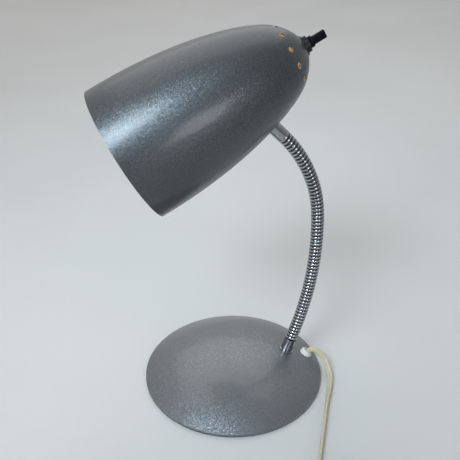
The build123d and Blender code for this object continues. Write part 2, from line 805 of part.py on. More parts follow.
# Cord bushing: a round button seated on the dome, with a stem through it
with BuildPart() as cord_bushing:
    with BuildSketch(bushing_round_plane.offset(-bushing_radius)):
        Circle(bushing_radius)
    extrude(amount=bushing_radius + bushing_height)
    fillet(cord_bushing.faces().sort_by(bushing_axis)[-1].edges(), bushing_rounding)
    with BuildSketch(Plane.XZ):
        with BuildLine():
            RadiusArc((0, dome_top), (base_radius, lip_top), dome_radius)
            Polyline((base_radius, lip_top), (base_radius, -base_radius), (0, -base_radius), (0, dome_top))
        make_face()
    revolve(axis=Axis.Z, mode=Mode.SUBTRACT)
    with BuildSketch(bushing_round_plane.offset(-bushing_stem_length)):
        Circle(bushing_stem_radius)
    extrude(amount=bushing_stem_length + bushing_height / 2)
    with BuildSketch(bushing_round_plane):
        Circle(bushing_bore_radius)
    extrude(amount=2 * bushing_radius, both=True, mode=Mode.SUBTRACT)
finish(cord_bushing, "cord_bushing")


def bend_radii(points):
    """The radius for each corner of a route: a share of its shorter run over the tangent of half its turn."""
    runs = [b - a for a, b in zip(points, points[1:])]
    radii = []
    for before, after in zip(runs, runs[1:]):
        half_turn = radians(before.get_angle(after)) / 2
        radii.append(run_share * min(before.length, after.length) / tan(half_turn))
    return radii


def route(name, points):
    """Straight runs joined by tangent arcs through the given points; prints the bend radii."""
    radii = bend_radii(points)
    with BuildLine() as line:
        FilletPolyline(*points, radius=radii)
    print(name, "bend radii", [round(radius, 1) for radius in radii])
    return line.wire()


def check_tube(name, piece, path, radius):
    """Print a tube's volume beside its section times its length."""
    print(name, "length", round(path.length, 1), "volume ratio", piece.part.volume / (pi * radius**2 * path.length))


# Wiring in the base: from the bushing under the neck, round the notch and up into the nipple
wire_height = plate_top + lead_radius + seat_gap
nipple_end = foot_point + lean_direction(foot_lean) * foot_nipple_bottom
bushing_drop = (bushing_point.Z - wire_height) / bushing_direction.Z
nipple_drop = (nipple_end.Z - wire_height) / cos(foot_lean)
under_nipple = nipple_end - lean_direction(foot_lean) * nipple_drop
notch_side = weight_notch_width / 2 - 2 * lead_radius - motion_gap
notch_end = weight_notch_start + 2 * lead_radius + motion_gap
base_lead_path = route(
    "base_lead",
    [
        bushing_point,
        bushing_point - bushing_direction * bushing_drop,
        Vector(notch_side * notch_share, foot_y + nut_pass, wire_height),
        Vector(notch_side, (foot_y + notch_end) / 2, wire_height),
        Vector(notch_side * notch_share, notch_end, wire_height),
        Vector(0, notch_end, wire_height),
        under_nipple,
        nipple_end + lean_direction(foot_lean) * collar_thickness,
    ],
)
with BuildPart() as base_lead:
    with BuildSketch(Plane(origin=base_lead_path @ 0, z_dir=base_lead_path % 0)):
        Circle(lead_radius)
    sweep(path=base_lead_path)
check_tube("base_lead", base_lead, base_lead_path, lead_radius)
finish(base_lead, "base_lead")

# Wiring in the shade: from the nipple along the lamp holder into the switch housing
lead_side = holder_radius + lead_radius + motion_gap
nipple_inside = entry_point + lean_direction(head_lean) * head_nipple_end
head_lead_path = route(
    "head_lead",
    [
        nipple_inside - lean_direction(head_lean) * collar_thickness,
        nipple_inside + lean_direction(head_lean) * nipple_pass,
        head_point(0, lead_side + lead_radius, holder_bottom + holder_pass),
        head_point(0, lead_side, housing_floor),
        head_point(0, lead_side - seat_gap, wire_entry),
        head_point(0, housing_radius - housing_wall, wire_entry),
    ],
)
with BuildPart() as head_lead:
    with BuildSketch(Plane(origin=head_lead_path @ 0, z_dir=head_lead_path % 0)):
        Circle(lead_radius)
    sweep(path=head_lead_path)
check_tube("head_lead", head_lead, head_lead_path, lead_radius)
finish(head_lead, "head_lead")

# Cord coil: a spiral in, a climb of one layer in half a turn, and a spiral out again
coil_low = tie_thickness + tie_gap + cord_radius
climb_start = 2 * pi * coil_turns_in
climb_end = climb_start + pi
coil_reverse = (climb_start + climb_end) / 2
coil_end = climb_end + 2 * pi * coil_turns_out
inner_coil_radius = coil_radius - coil_pitch * coil_reverse / (2 * pi)


def coil_point(angle):
    """Point of the coil's middle line, by the angle turned from its start."""
    radius = inner_coil_radius + coil_pitch * abs(angle - coil_reverse) / (2 * pi)
    climb = min(max(angle - climb_start, 0), pi)
    height = coil_low + coil_layer_height * (1 - cos(climb)) / 2
    bearing = radians(coil_start_angle) + angle
    return Vector(coil_middle[0] + radius * cos(bearing), coil_middle[1] + radius * sin(bearing), height)


def coil_heading(angle):
    """Direction of the coil's middle line."""
    small = 0.01
    return (coil_point(angle + small) - coil_point(angle - small)).normalized()


def add_biarc(start, start_heading, end, end_heading):
    """Two arcs that leave and arrive in the given directions."""
    chord = end - start
    both = start_heading + end_heading
    spread = 2 * (1 - start_heading.dot(end_heading))
    reach = (sqrt(chord.dot(both) ** 2 + spread * chord.dot(chord)) - chord.dot(both)) / spread
    middle = (start + start_heading * reach + end - end_heading * reach) / 2
    first = TangentArc(start, middle, tangent=start_heading)
    TangentArc(middle, end, tangent=first % 1)


cord_width = 2 * cord_radius
quarter_count = ceil(coil_end / (pi / 2))
quarter_angles = [coil_end * number / quarter_count for number in range(quarter_count + 1)]
coil_in_heading = Vector(coil_heading(0).X, coil_heading(0).Y, 0).normalized()
coil_out_heading = Vector(coil_heading(coil_end).X, coil_heading(coil_end).Y, 0).normalized()
headings = [coil_heading(angle) for angle in quarter_angles]
headings[0] = coil_in_heading
headings[-1] = coil_out_heading
coil_entry = coil_point(0) - coil_in_heading * cord_width
coil_exit = coil_point(coil_end) + coil_out_heading * cord_width
with BuildLine() as coil_line:
    Line(coil_entry, coil_point(0))
    for number in range(quarter_count):
        add_biarc(
            coil_point(quarter_angles[number]),
            headings[number],
            coil_point(quarter_angles[number + 1]),
            headings[number + 1],
        )
    Line(coil_point(coil_end), coil_exit)
coil_path = coil_line.wire()
with BuildPart() as cord_coil:
    with BuildSketch(Plane(origin=coil_entry, z_dir=coil_in_heading)):
        Circle(cord_radius)
    sweep(path=coil_path)
check_tube("cord_coil", cord_coil, coil_path, cord_radius)
finish(cord_coil, "cord_coil")

# Least gap between two turns of the coil, measured on points along it
gap_steps = 600
gap_points = [coil_path @ (step / gap_steps) for step in range(gap_steps + 1)]
near_steps = ceil(gap_steps * pi * inner_coil_radius / coil_path.length)
coil_gap = min(
    (gap_points[i] - gap_points[j]).length - cord_width
    for i in range(gap_steps + 1)
    for j in range(i + near_steps, gap_steps + 1)
)
print("cord_coil least gap to itself", round(coil_gap, 2))

# Free cord: it arches out of the bushing, lies along the base's side and runs to the coil
floor_level = cord_radius + fit_gap
cord_start = bushing_point + bushing_direction * fit_gap
cord_lead_path = route(
    "cord_lead",
    [
        cord_start,
        bushing_point + bushing_direction * arch_rise,
        *[Vector(*point) for point in arch_points],
        *[Vector(*point, floor_level) for point in floor_points],
        coil_entry - coil_in_heading * coil_approach,
        coil_entry,
    ],
)
with BuildPart() as cord_lead:
    with BuildSketch(Plane(origin=cord_lead_path @ 0, z_dir=cord_lead_path % 0)):
        Circle(cord_radius)
    sweep(path=cord_lead_path)
check_tube("cord_lead", cord_lead, cord_lead_path, cord_radius)
finish(cord_lead, "cord_lead")

# The end of the cord, and the two-blade plug that lies beside the coil
plug_point = Vector(coil_exit.X + tail_shift[0], coil_exit.Y + tail_shift[1], plug_thickness / 2)
plug_heading = Vector(0, 1, 0)
cord_tail_path = route(
    "cord_tail",
    [
        coil_exit,
        coil_exit + coil_out_heading * tail_leave,
        plug_point - plug_heading * tail_arrive,
        plug_point,
    ],
)
with BuildPart() as cord_tail:
    with BuildSketch(Plane(origin=cord_tail_path @ 0, z_dir=cord_tail_path % 0)):
        Circle(cord_radius)
    sweep(path=cord_tail_path)
check_tube("cord_tail", cord_tail, cord_tail_path, cord_radius)
finish(cord_tail, "cord_tail")

with BuildPart() as plug_body:
    with BuildSketch(Plane(origin=plug_point + plug_heading * fit_gap, x_dir=across, z_dir=plug_heading)):
        RectangleRounded(plug_width, plug_thickness, plug_edge_radius)
    extrude(amount=plug_length)
finish(plug_body, "plug_body")

with BuildPart() as plug_blades:
    blade_start = plug_point + plug_heading * (plug_length + fit_gap)
    with BuildSketch(Plane(origin=blade_start, x_dir=across, z_dir=plug_heading)):
        with GridLocations(blade_spacing, 0, 2, 1):
            Rectangle(blade_thickness, blade_width)
    extrude(amount=blade_length)
finish(plug_blades, "plug_blades")

# Tie round the coil's turns
tie_bearing = radians(tie_angle)
tie_outwards = Vector(cos(tie_bearing), sin(tie_bearing), 0)
tie_turn = ((tie_angle - coil_start_angle) / 360) % 1
tie_passes = [coil_point(2 * pi * (tie_turn + turn)) for turn in range(int(coil_end / (2 * pi) - tie_turn) + 1)]
tie_radii = [hypot(point.X - coil_middle[0], point.Y - coil_middle[1]) for point in tie_passes]
tie_inner_width = max(tie_radii) - min(tie_radii) + cord_width + 2 * tie_gap
tie_inner_height = coil_layer_height + cord_width + 2 * tie_gap
tie_middle = Vector(*coil_middle, 0) + tie_outwards * (max(tie_radii) + min(tie_radii)) / 2
tie_middle += Vector(0, 0, coil_low + coil_layer_height / 2)
tie_plane = Plane(origin=tie_middle, x_dir=tie_outwards, z_dir=tie_outwards.cross(Vector(0, 0, 1)))
with BuildPart() as cord_tie:
    with BuildSketch(tie_plane):
        RectangleRounded(tie_inner_width + 2 * tie_thickness, tie_inner_height + 2 * tie_thickness, cord_radius)
        RectangleRounded(tie_inner_width, tie_inner_height, cord_radius - tie_thickness / 2, mode=Mode.SUBTRACT)
    extrude(amount=tie_width / 2, both=True)
finish(cord_tie, "cord_tie")
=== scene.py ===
# Gooseneck desk lamp: camera, cord, flexible neck, finishes and light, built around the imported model.
# Metres, in the model's own frame: +Z up, origin under the middle of the base,
# the shade's mouth towards -Y.
from math import asin, atan, copysign, cos, pi, radians, sin, sqrt

import bpy
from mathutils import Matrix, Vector


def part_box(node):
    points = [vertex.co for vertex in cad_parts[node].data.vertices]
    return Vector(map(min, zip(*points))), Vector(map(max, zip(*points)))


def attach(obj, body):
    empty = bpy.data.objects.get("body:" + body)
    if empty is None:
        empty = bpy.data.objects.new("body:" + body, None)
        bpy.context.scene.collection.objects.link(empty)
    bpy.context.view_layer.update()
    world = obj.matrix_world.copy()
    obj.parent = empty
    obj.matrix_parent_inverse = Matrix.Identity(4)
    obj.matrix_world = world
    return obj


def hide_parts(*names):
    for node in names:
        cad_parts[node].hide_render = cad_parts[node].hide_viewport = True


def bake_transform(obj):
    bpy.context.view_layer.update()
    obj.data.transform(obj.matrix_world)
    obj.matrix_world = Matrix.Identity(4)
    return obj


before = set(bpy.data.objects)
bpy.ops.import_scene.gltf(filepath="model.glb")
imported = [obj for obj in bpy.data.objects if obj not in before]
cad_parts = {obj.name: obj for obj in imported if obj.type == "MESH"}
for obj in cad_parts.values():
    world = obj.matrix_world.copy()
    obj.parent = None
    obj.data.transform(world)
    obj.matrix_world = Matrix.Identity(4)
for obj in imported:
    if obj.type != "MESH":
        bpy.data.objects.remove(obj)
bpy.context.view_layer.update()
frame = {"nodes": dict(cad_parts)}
nodes = frame["nodes"]
scene = bpy.context.scene
scene.view_settings.view_transform = "Standard"
across = Vector((1, 0, 0))
upwards = Vector((0, 0, 1))

# Camera, fitted to the photograph's frame of 460 by 460
image_size = 460
focal_pixels = 650
sensor_width = 36
camera_place = Vector((0.4325, -0.0961, 0.39856))
camera_heading = Vector((-0.8490, 0.1828, -0.4959))

camera_data = bpy.data.cameras.new("camera")
camera_data.sensor_width = sensor_width
camera_data.lens = sensor_width * focal_pixels / image_size
camera = bpy.data.objects.new("camera", camera_data)
scene.collection.objects.link(camera)
camera.location = camera_place
camera.rotation_mode = "QUATERNION"
camera.rotation_quaternion = camera_heading.to_track_quat("-Z", "Y")
scene.camera = camera

# Sizes of the lamp that the dressed pieces share with the solids
base_radius = 0.0775
dome_rise = 0.0220
dome_top = 0.0250
dome_radius = (base_radius**2 + dome_rise**2) / (2 * dome_rise)
foot_y = 0.0482
foot_ferrule_length = 0.013
head_ferrule_length = 0.013
lower_arc_length = 0.1244
lower_arc_turn = radians(23.1)
upper_arc_length = 0.0785
neck_sections = 9
neck_radius = 0.00535
turn_depth = 0.0009
turn_count = 63
turn_fullness = 0.96  # of a half circle that a turn's outline takes up, squared
lower_shade_shift = 0.4  # of the dark mark towards the lower side of a turn, painted shade where the turn above shades it
neck_bore_radius = 0.0024
lead_radius = 0.0015
mouth_radius = 0.051
ellipse_length = 0.1503
neck_entry = 0.0994
shade_tilt = radians(28.6)


def new_object(name, mesh):
    """An object in the scene for a mesh."""
    made = bpy.data.objects.new(name, mesh)
    scene.collection.objects.link(made)
    return made


def mesh_from(name, points, faces, smooth=True):
    """A mesh from points and faces."""
    mesh = bpy.data.meshes.new(name)
    mesh.from_pydata([tuple(point) for point in points], [], faces)
    mesh.validate()
    if smooth:
        mesh.polygons.foreach_set("use_smooth", [True] * len(mesh.polygons))
    mesh.update()
    return mesh


def ring_faces(rings, around, first=0, outwards=True):
    """Quads between rings of points that follow each other."""
    faces = []
    for ring in range(rings - 1):
        for step in range(around):
            a = first + ring * around + step
            b = first + ring * around + (step + 1) % around
            face = (a, b, b + around, a + around)
            faces.append(face if outwards else face[::-1])
    return faces


def closing_faces(last, around):
    """Quads from the ring that begins at last back to the first ring."""
    faces = []
    for step in range(around):
        after = (step + 1) % around
        faces.append((last + step, last + after, after, step))
    return faces


# Materials
bulb_strength = 5.5  # low enough for the lining to keep its tone


def new_material(name):
    """A material with an empty principled shader; gives the material, its nodes, links and shader."""
    material = bpy.data.materials.new(name)
    material.use_nodes = True
    tree = material.node_tree
    return material, tree.nodes, tree.links, tree.nodes["Principled BSDF"]


def object_noise(nodes, links, scale, detail=2.0):
    """Noise in the object's own metres."""
    coordinates = nodes.new("ShaderNodeTexCoord")
    noise = nodes.new("ShaderNodeTexNoise")
    noise.inputs["Scale"].default_value = scale
    noise.inputs["Detail"].default_value = detail
    links.new(coordinates.outputs["Object"], noise.inputs["Vector"])
    return noise


def spread_values(nodes, links, source, low, high):
    """A texture's 0 to 1 taken to low to high."""
    spread = nodes.new("ShaderNodeMapRange")
    spread.inputs["To Min"].default_value = low
    spread.inputs["To Max"].default_value = high
    links.new(source, spread.inputs["Value"])
    return spread.outputs["Result"]


def colour_ramp(nodes, links, source, stops):
    """Colours along a texture's value."""
    ramp = nodes.new("ShaderNodeValToRGB")
    elements = ramp.color_ramp.elements
    while len(elements) < len(stops):
        elements.new(0.5)
    for element, (position, colour) in zip(elements, stops):
        element.position = position
        element.color = (*colour, 1)
    links.new(source, ramp.inputs["Fac"])
    return ramp.outputs["Color"]


def add_bump(nodes, links, shader, source, depth):
    """Bump of a depth in metres from a texture."""
    bump = nodes.new("ShaderNodeBump")
    bump.inputs["Distance"].default_value = depth
    links.new(source, bump.inputs["Height"])
    links.new(bump.outputs["Normal"], shader.inputs["Normal"])


def simple_finish(name, dark, light, roughness, metallic=0.0, grain=300.0, depth=0.00004, gloss=0.5):
    """A finish whose colour, roughness and surface vary gently with noise."""
    material, nodes, links, shader = new_material(name)
    noise = object_noise(nodes, links, grain, 4.0)
    colours = colour_ramp(nodes, links, noise.outputs["Fac"], [(0.3, dark), (0.7, light)])
    links.new(colours, shader.inputs["Base Color"])
    links.new(
        spread_values(nodes, links, noise.outputs["Fac"], roughness * 0.8, roughness * 1.2),
        shader.inputs["Roughness"],
    )
    shader.inputs["Metallic"].default_value = metallic
    shader.inputs["Specular IOR Level"].default_value = gloss
    add_bump(nodes, links, shader, noise.outputs["Fac"], depth)
    return material


def flake_paint(name, lightness, flake_tilt, coat_roughness):
    """Silver-grey paint: fine metal flakes that lie at slightly different angles under a clear coat."""
    flake_size = 0.0005
    flake_roughness = (0.38, 0.50)
    metal_share = 0.92
    coat_weight = 0.45
    greys = [
        (0.0, (0.140, 0.152, 0.163)),
        (0.6, (0.168, 0.182, 0.195)),
        (0.95, (0.205, 0.222, 0.236)),
        (1.0, (0.27, 0.285, 0.30)),
    ]
    material, nodes, links, shader = new_material(name)
    coordinates = nodes.new("ShaderNodeTexCoord")
    flakes = nodes.new("ShaderNodeTexVoronoi")
    flakes.inputs["Scale"].default_value = 1 / flake_size
    links.new(coordinates.outputs["Object"], flakes.inputs["Vector"])
    parts = nodes.new("ShaderNodeSeparateColor")
    links.new(flakes.outputs["Color"], parts.inputs["Color"])
    # lightness scales the greys, so that copies of one paint carry painted light or painted shade
    stops = [(place, [lightness * part for part in grey]) for place, grey in greys]
    links.new(colour_ramp(nodes, links, parts.outputs["Red"], stops), shader.inputs["Base Color"])
    geometry = nodes.new("ShaderNodeNewGeometry")
    centred = nodes.new("ShaderNodeVectorMath")
    centred.operation = "SUBTRACT"
    centred.inputs[1].default_value = (0.5, 0.5, 0.5)
    links.new(flakes.outputs["Color"], centred.inputs[0])
    tilted = nodes.new("ShaderNodeVectorMath")
    tilted.operation = "MULTIPLY_ADD"
    tilted.inputs[1].default_value = (flake_tilt, flake_tilt, flake_tilt)
    links.new(centred.outputs["Vector"], tilted.inputs[0])
    links.new(geometry.outputs["Normal"], tilted.inputs[2])
    facing = nodes.new("ShaderNodeVectorMath")
    facing.operation = "NORMALIZE"
    links.new(tilted.outputs["Vector"], facing.inputs[0])
    links.new(facing.outputs["Vector"], shader.inputs["Normal"])
    roughness = spread_values(nodes, links, parts.outputs["Green"], *flake_roughness)
    links.new(roughness, shader.inputs["Roughness"])
    shader.inputs["Metallic"].default_value = metal_share
    shader.inputs["Coat Weight"].default_value = coat_weight
    shader.inputs["Coat Roughness"].default_value = coat_roughness
    return material


def chrome_plate():
    """Chrome plate with faint smears."""
    material, nodes, links, shader = new_material("chrome_plate")
    smears = object_noise(nodes, links, 90.0, 3.0)
    stops = [(0.25, (0.33, 0.34, 0.36)), (0.75, (0.44, 0.45, 0.47))]
    links.new(colour_ramp(nodes, links, smears.outputs["Fac"], stops), shader.inputs["Base Color"])
    links.new(spread_values(nodes, links, smears.outputs["Fac"], 0.05, 0.12), shader.inputs["Roughness"])
    shader.inputs["Metallic"].default_value = 1.0
    return material


def wound_chrome():
    """Chrome of the wound neck: bright on the turns, dark in the grooves with grime and painted shade, and
    painted shade below each turn.
    """
    material, nodes, links, shader = new_material("wound_chrome")
    # the chrome's colour is darkened by grime and painted shade in the grooves, and by painted shade on
    # each turn's lower side
    grime_and_shade = nodes.new("ShaderNodeAttribute")
    grime_and_shade.attribute_name = "grime_and_shade"
    stops = [
        (0.0, (0.47, 0.48, 0.50)),
        (0.06, (0.37, 0.38, 0.40)),
        (0.20, (0.10, 0.10, 0.11)),
        (0.45, (0.025, 0.025, 0.028)),
    ]
    links.new(colour_ramp(nodes, links, grime_and_shade.outputs["Fac"], stops), shader.inputs["Base Color"])
    smears = object_noise(nodes, links, 200.0, 3.0)
    links.new(spread_values(nodes, links, smears.outputs["Fac"], 0.06, 0.16), shader.inputs["Roughness"])
    shader.inputs["Metallic"].default_value = 1.0
    return material


def lit_glass():
    """Frosted bulb, lit with a warm light."""
    material, nodes, links, shader = new_material("lit_glass")
    frost = object_noise(nodes, links, 700.0, 3.0)
    shader.inputs["Base Color"].default_value = (0.95, 0.92, 0.86, 1)
    links.new(spread_values(nodes, links, frost.outputs["Fac"], 0.35, 0.55), shader.inputs["Roughness"])
    glow = [(0.2, (1.0, 0.60, 0.28)), (0.8, (1.0, 0.66, 0.34))]
    links.new(colour_ramp(nodes, links, frost.outputs["Fac"], glow), shader.inputs["Emission Color"])
    shader.inputs["Emission Strength"].default_value = bulb_strength
    return material


# One silver-grey paint in two copies: written darker on the shade and twice as light on the base, painted
# shade and painted light for how the light falls on each
shade_paint_darkened = flake_paint("shade_paint_darkened", lightness=0.60, flake_tilt=0.22, coat_roughness=0.18)
base_paint_lightened = flake_paint("base_paint_lightened", lightness=1.20, flake_tilt=0.32, coat_roughness=0.11)
chrome = chrome_plate()
neck_chrome = wound_chrome()
pale_enamel = simple_finish("pale_enamel", (0.60, 0.59, 0.57), (0.68, 0.67, 0.65), 0.45, grain=120.0)
bare_steel = simple_finish(
    "bare_steel", (0.36, 0.36, 0.36), (0.52, 0.52, 0.51), 0.38, metallic=1.0, grain=400.0, depth=0.00003
)
cast_iron = simple_finish(
    "cast_iron", (0.05, 0.05, 0.05), (0.13, 0.12, 0.11), 0.75, metallic=0.6, grain=500.0, depth=0.0003
)
black_plastic = simple_finish(
    "black_plastic", (0.003, 0.004, 0.005), (0.008, 0.009, 0.010), 0.26, grain=900.0, gloss=0.06
)
dark_metal = simple_finish(
    "dark_metal", (0.013, 0.014, 0.014), (0.038, 0.040, 0.038), 0.40, metallic=0.8, grain=600.0
)
plain_brass = simple_finish(
    "plain_brass", (0.50, 0.34, 0.13), (0.66, 0.48, 0.20), 0.32, metallic=1.0, grain=350.0
)
rolled_aluminium = simple_finish(
    "rolled_aluminium", (0.55, 0.55, 0.55), (0.68, 0.68, 0.68), 0.35, metallic=1.0, grain=350.0
)
white_ceramic = simple_finish("white_ceramic", (0.74, 0.72, 0.66), (0.82, 0.80, 0.74), 0.25, grain=200.0)
white_plastic = simple_finish("white_plastic", (0.66, 0.64, 0.57), (0.76, 0.74, 0.68), 0.35, grain=500.0)
cream_vinyl = simple_finish("cream_vinyl", (0.50, 0.445, 0.315), (0.60, 0.54, 0.395), 0.46, grain=700.0)
wire_vinyl = simple_finish("wire_vinyl", (0.48, 0.45, 0.36), (0.58, 0.54, 0.44), 0.5, grain=700.0)
dark_felt = simple_finish(
    "dark_felt", (0.012, 0.012, 0.013), (0.04, 0.04, 0.042), 0.95, grain=1600.0, depth=0.0003
)
bulb_light = lit_glass()

# Cord: straight out of the bushing, in an arch down beside the base,
# then along the floor to the coil and the plug
cord_width = 0.0054
cord_thickness = 0.0027
cord_resolution = 8
core_groove = 0.45  # half the waist between the cores, of a core's radius
bushing_y = 0.0671
bushing_tilt = radians(40)
bushing_place = Vector((0, bushing_y, dome_top - dome_radius + sqrt(dome_radius**2 - bushing_y**2)))
bushing_heading = Vector((0, sin(bushing_tilt), cos(bushing_tilt)))
arch_rise = 0.0050
arch_points = [(0.0033, 0.0756, 0.0146), (0.0103, 0.0802, 0.0112), (0.0180, 0.0824, 0.0052)]
floor_points = [
    (0.0287, 0.0809),
    (0.0427, 0.0750),
    (0.0575, 0.0676),
    (0.0736, 0.0604),
    (0.0920, 0.0518),
    (0.1118, 0.0428),
]
floor_level = cord_width / 2
coil_middle = Vector((0.1675, 0.059, 0))
coil_start_angle = radians(246)
coil_radius = 0.038
coil_pitch = 0.0046
coil_layer_height = 0.0056
coil_low = 0.0033
coil_turns_in = 4.0
coil_turns_out = 3.75
coil_points_per_turn = 16
coil_approach = 0.020
coil_run = 0.004
tail_leave = 0.013
tail_shift = Vector((0.0085, 0.044, 0))
tail_arrive = 0.015
plug_middle_height = 0.006

climb_start = 2 * pi * coil_turns_in
climb_end = climb_start + pi
coil_reverse = (climb_start + climb_end) / 2
coil_end = climb_end + 2 * pi * coil_turns_out
inner_coil_radius = coil_radius - coil_pitch * coil_reverse / (2 * pi)


def coil_point(angle):
    """Point of the coil, by the angle turned from its start."""
    radius = inner_coil_radius + coil_pitch * abs(angle - coil_reverse) / (2 * pi)
    climb = min(max(angle - climb_start, 0), pi)
    height = coil_low + coil_layer_height * (1 - cos(climb)) / 2
    bearing = coil_start_angle + angle
    return coil_middle + Vector((radius * cos(bearing), radius * sin(bearing), height))


def coil_heading(angle):
    """Level direction of the coil."""
    small = 0.01
    heading = coil_point(angle + small) - coil_point(angle - small)
    heading.z = 0
    return heading.normalized()


coil_entry = coil_point(0) - coil_heading(0) * coil_run
coil_exit = coil_point(coil_end) + coil_heading(coil_end) * coil_run
plug_place = Vector((coil_exit.x, coil_exit.y, plug_middle_height)) + tail_shift
plug_heading = Vector((0, 1, 0))
coil_count = round(coil_end / (2 * pi) * coil_points_per_turn)
cord_points = [bushing_place, bushing_place + bushing_heading * arch_rise]
cord_points += [Vector(point) for point in arch_points]
cord_points += [Vector((x, y, floor_level)) for x, y in floor_points]
cord_points += [coil_entry - coil_heading(0) * coil_approach, coil_entry]
cord_points += [coil_point(coil_end * step / coil_count) for step in range(coil_count + 1)]
cord_points += [coil_exit, coil_exit + coil_heading(coil_end) * tail_leave]
cord_points += [plug_place - plug_heading * tail_arrive, plug_place]


def smooth_line(name, points, resolution):
    """Points along a NURBS spline with the given control points."""
    curve = bpy.data.curves.new(name, "CURVE")
    curve.dimensions = "3D"
    spline = curve.splines.new("NURBS")
    spline.points.add(len(points) - 1)
    for control, point in zip(spline.points, points):
        control.co = (*point, 1)
    spline.order_u = 3
    spline.use_endpoint_u = True
    spline.resolution_u = resolution
    holder = new_object(name, curve)
    line = bpy.data.meshes.new_from_object(holder)
    places = [vertex.co.copy() for vertex in line.vertices]
    bpy.data.meshes.remove(line)
    bpy.data.objects.remove(holder)
    bpy.data.curves.remove(curve)
    return places


def twin_section(width, thickness, steps):
    """Outline of two round cores with a groove between them: across the width, then the thickness."""
    radius = thickness / 2
    reach = (width - thickness) / 2
    sweep = pi - asin(core_groove)
    outline = []
    for side in (1, -1):
        for step in range(steps):
            angle = side * sweep * (2 * step / (steps - 1) - 1)
            outline.append((side * (reach + radius * cos(angle)), radius * sin(angle)))
    return outline


def wide_direction(distance, keys):
    """The direction that the cord's width lies in, between keys of distance and direction."""
    for (start, first), (end, last) in zip(keys, keys[1:]):
        if distance <= end:
            share = max(0.0, (distance - start) / (end - start))
            return Vector(first).lerp(Vector(last), share * share * (3 - 2 * share))
    return Vector(keys[-1][1])


def twin_cord(name, line, width, thickness, keys, steps=9):
    """A flat twin cord along a line of points, its width turned by the keys."""
    outline = twin_section(width, thickness, steps)
    distance = 0.0
    points = []
    for number, place in enumerate(line):
        before = line[max(number - 1, 0)]
        after = line[min(number + 1, len(line) - 1)]
        heading = (after - before).normalized()
        if number > 0:
            distance += (place - before).length
        wide = wide_direction(distance, keys)
        wide = (wide - heading * wide.dot(heading)).normalized()
        flat = heading.cross(wide)
        points += [place + wide * x + flat * y for x, y in outline]
    around = len(outline)
    faces = ring_faces(len(line), around)
    faces.append(tuple(reversed(range(around))))
    faces.append(tuple(range((len(line) - 1) * around, len(line) * around)))
    return new_object(name, mesh_from(name, points, faces))


cord_line = smooth_line("cord_line", cord_points, cord_resolution)
cord_run = sum((b - a).length for a, b in zip(cord_line, cord_line[1:]))
tail_start = cord_run - (tail_leave + tail_arrive + tail_shift.y / 2)
width_keys = [  # distance along the cord, and the direction that its width lies in there
    (0.0, (1, 0, 0)),
    (0.010, (1, -0.2, 0)),
    (0.026, (0.21, -0.97, -0.05)),
    (0.046, (0.15, -0.8, -0.6)),
    (0.075, (0, 0, -1)),
    (tail_start, (0, 0, -1)),
    (cord_run, (1, 0, 0)),
]
cord = twin_cord("mains_cord", cord_line, cord_width, cord_thickness, width_keys)
cord.data.materials.append(cream_vinyl)
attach(cord, "base")
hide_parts("cord_lead", "cord_coil", "cord_tail")

# Tie round the coil: a thin band that closes round all the turns
tie_bearing = radians(110)
tie_thickness = 0.0005
tie_width = 0.004
tie_corner = 0.0018
tie_corner_steps = 5
tie_low, tie_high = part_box("cord_tie")
tie_outwards = Vector((cos(tie_bearing), sin(tie_bearing), 0))
tie_along = tie_outwards.cross(upwards)
tie_centre = (tie_low + tie_high) / 2
tie_half_height = (tie_high.z - tie_low.z) / 2
tie_node = nodes["cord_tie"]
tie_corners = [tie_node.matrix_world @ vertex.co - tie_centre for vertex in tie_node.data.vertices]
tie_half_reach = max(corner.dot(tie_outwards) for corner in tie_corners)


def band_outline(half_width, half_height, corner):
    """Outline of a rectangle with rounded corners."""
    outline = []
    for quarter in range(4):
        side = 1 if quarter in (0, 3) else -1
        level = 1 if quarter in (0, 1) else -1
        for step in range(tie_corner_steps):
            angle = pi / 2 * (quarter + step / (tie_corner_steps - 1))
            x = side * (half_width - corner) + corner * cos(angle)
            z = level * (half_height - corner) + corner * sin(angle)
            outline.append((x, z))
    return outline


tie_outer = band_outline(tie_half_reach, tie_half_height, tie_corner)
tie_inner = band_outline(
    tie_half_reach - tie_thickness,
    tie_half_height - tie_thickness,
    tie_corner - tie_thickness,
)
tie_loops = [(tie_inner, -0.5), (tie_inner, 0.5), (tie_outer, 0.5), (tie_outer, -0.5)]
tie_points = [
    tie_centre + tie_outwards * x + upwards * z + tie_along * tie_width * share
    for outline, share in tie_loops
    for x, z in outline
]
tie_around = len(tie_outer)
tie_faces = ring_faces(len(tie_loops), tie_around)
tie_faces += closing_faces((len(tie_loops) - 1) * tie_around, tie_around)
tie = new_object("coil_tie", mesh_from("coil_tie", tie_points, tie_faces, smooth=False))
tie.data.materials.append(black_plastic)
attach(tie, "base")
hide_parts("cord_tie")

# Plug: a moulded body that swells from the cord to its face, with grip ribs across it
plug_steps = 40
plug_squareness = 0.55
plug_neck = [  # distance from the cord, half width and half height
    (0.0, 0.0036, 0.0028),
    (0.003, 0.0040, 0.0031),
    (0.005, 0.0058, 0.0042),
    (0.0075, 0.0078, 0.0053),
]
plug_front = [
    (0.0180, 0.0088, 0.0059),
    (0.0185, 0.0090, 0.0060),
    (0.0212, 0.0090, 0.0060),
    (0.0220, 0.0084, 0.0054),
]
rib_half_width = 0.0086
rib_half_height = 0.0058
rib_start = 0.0082
rib_pitch = 0.0024
rib_count = 4
rib_depth = 0.0005


def plug_stations():
    """Distance from the cord, half width and half height along the plug."""
    stations = list(plug_neck)
    for rib in range(rib_count):
        place = rib_start + rib * rib_pitch
        for share, depth in ((0.0, rib_depth), (0.3, 0.0), (0.6, 0.0), (0.9, rib_depth)):
            stations.append((place + share * rib_pitch, rib_half_width - depth, rib_half_height - depth))
    return stations + plug_front


